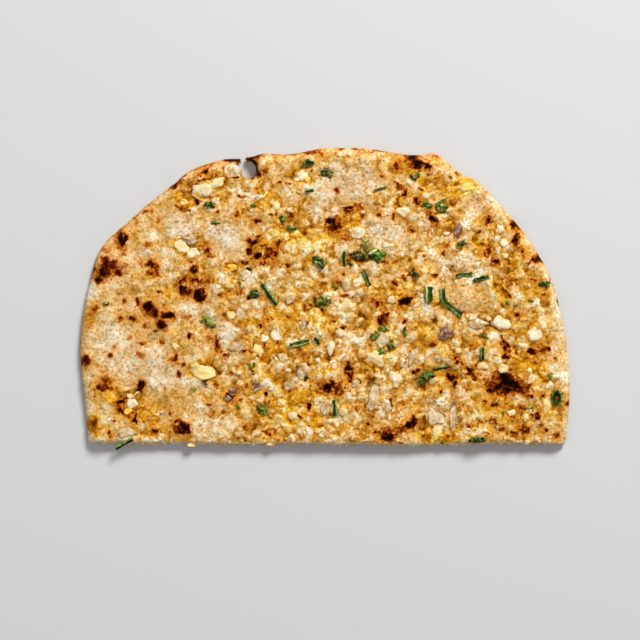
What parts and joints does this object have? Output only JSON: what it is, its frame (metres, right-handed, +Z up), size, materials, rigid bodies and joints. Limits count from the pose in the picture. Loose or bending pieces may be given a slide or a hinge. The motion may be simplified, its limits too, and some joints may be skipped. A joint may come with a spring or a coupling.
{
  "type": "cheese naan",
  "caption": "Half of a flat round bread baked with cheese, onion and herbs between two thin layers of dough, cut straight across.",
  "frame": {"origin": "under the middle of the bread's box, on the surface that it lies on", "axes": "+X along the straight cut, +Y from the cut towards the round rim, +Z up through the browned face"},
  "size_m": [0.2616, 0.1618, 0.0099],
  "materials": {
    "dough": "baked dough, golden with charred spots, oily where the cheese has broken through",
    "cheese": "moist melted cheese and cream-coloured curds"
  },
  "bodies": {
    "root": {"bread": "dough", "filling": "cheese"}
  },
  "joints": []
}
